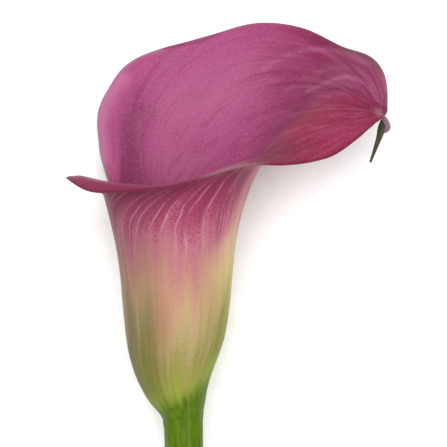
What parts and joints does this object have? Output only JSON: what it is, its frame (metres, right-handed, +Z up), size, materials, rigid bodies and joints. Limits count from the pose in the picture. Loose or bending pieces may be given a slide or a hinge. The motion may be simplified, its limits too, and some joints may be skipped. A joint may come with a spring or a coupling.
{
  "type": "calla lily flower",
  "caption": "Cut calla flower lying on its back: a rolled funnel spathe with a hooked tail, a green stem and a spadix inside.",
  "frame": {"origin": "middle of the flower's outline, on the surface that it lies on", "axes": "+Y from the cut end of the stem towards the bloom, +Z up from the surface, +X towards the side of the tail"},
  "size_m": [0.0846, 0.1861, 0.0471],
  "materials": {
    "spathe_pink": "satin",
    "stem_green": "satin",
    "spadix_yellow": "matte"
  },
  "bodies": {
    "root": {"spathe": "spathe_pink", "stem": "stem_green", "spadix": "spadix_yellow"}
  },
  "joints": []
}
